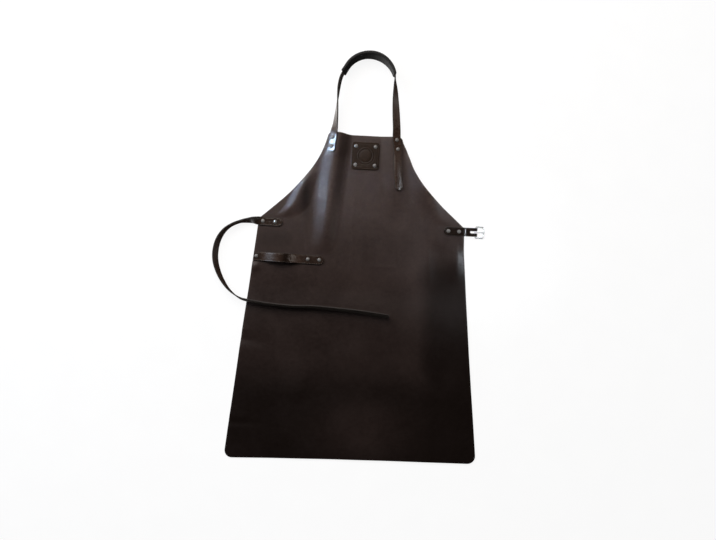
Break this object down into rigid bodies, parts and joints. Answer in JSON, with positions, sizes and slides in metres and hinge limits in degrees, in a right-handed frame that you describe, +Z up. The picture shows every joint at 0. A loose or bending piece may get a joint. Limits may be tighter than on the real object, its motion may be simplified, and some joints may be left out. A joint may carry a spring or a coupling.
{
  "type": "leather apron",
  "caption": "Leather work apron lying front up: bib and flared skirt, padded neck strap, waist strap, towel strap, bib patch and a buckle on a riveted tab.",
  "frame": {"origin": "on the surface that the apron lies on, under the middle of its box", "axes": "+Y from hem to bib, +Z up out of the front, +X to the buckle's side"},
  "size_m": [0.658, 0.994, 0.0399],
  "materials": {
    "panel_leather": "dark brown oiled full-grain leather, satin",
    "strap_leather": "dark brown bridle leather with raw cut edges, satin",
    "pad_leather": "black stitched leather, matt",
    "patch_leather": "near-black stamped leather, semi-gloss",
    "nickel": "nickel-plated steel, polished with fine wear"
  },
  "bodies": {
    "apron": {"apron_panel": "panel_leather", "neck_strap": "strap_leather", "neck_pad": "pad_leather", "waist_strap": "strap_leather", "towel_strap": "strap_leather", "badge_patch": "patch_leather", "buckle_tab": "strap_leather", "rivet_neck_left_upper": "nickel", "rivet_neck_left_lower": "nickel", "rivet_neck_right_upper": "nickel", "rivet_neck_right_lower": "nickel", "rivet_waist_outer": "nickel", "rivet_waist_inner": "nickel", "rivet_towel_left": "nickel", "rivet_towel_right_inner": "nickel", "rivet_towel_right_outer": "nickel", "rivet_tab_inner": "nickel", "rivet_tab_outer": "nickel", "rivet_patch_upper_left": "nickel", "rivet_patch_upper_right": "nickel", "rivet_patch_lower_left": "nickel", "rivet_patch_lower_right": "nickel"},
    "buckle": {"buckle_frame": "nickel"},
    "prong": {"buckle_prong": "nickel"}
  },
  "joints": [
    {"name": "buckle_swing", "type": "hinge", "parent": "apron", "child": "buckle", "pos_m": [0.30465, 0.07692, 0.0052], "axis": [0, -1, 0], "range_deg": [0, 60]},
    {"name": "prong_swing", "type": "hinge", "parent": "buckle", "child": "prong", "pos_m": [0.30465, 0.07692, 0.0052], "axis": [0, -1, 0], "range_deg": [0, 85]}
  ]
}
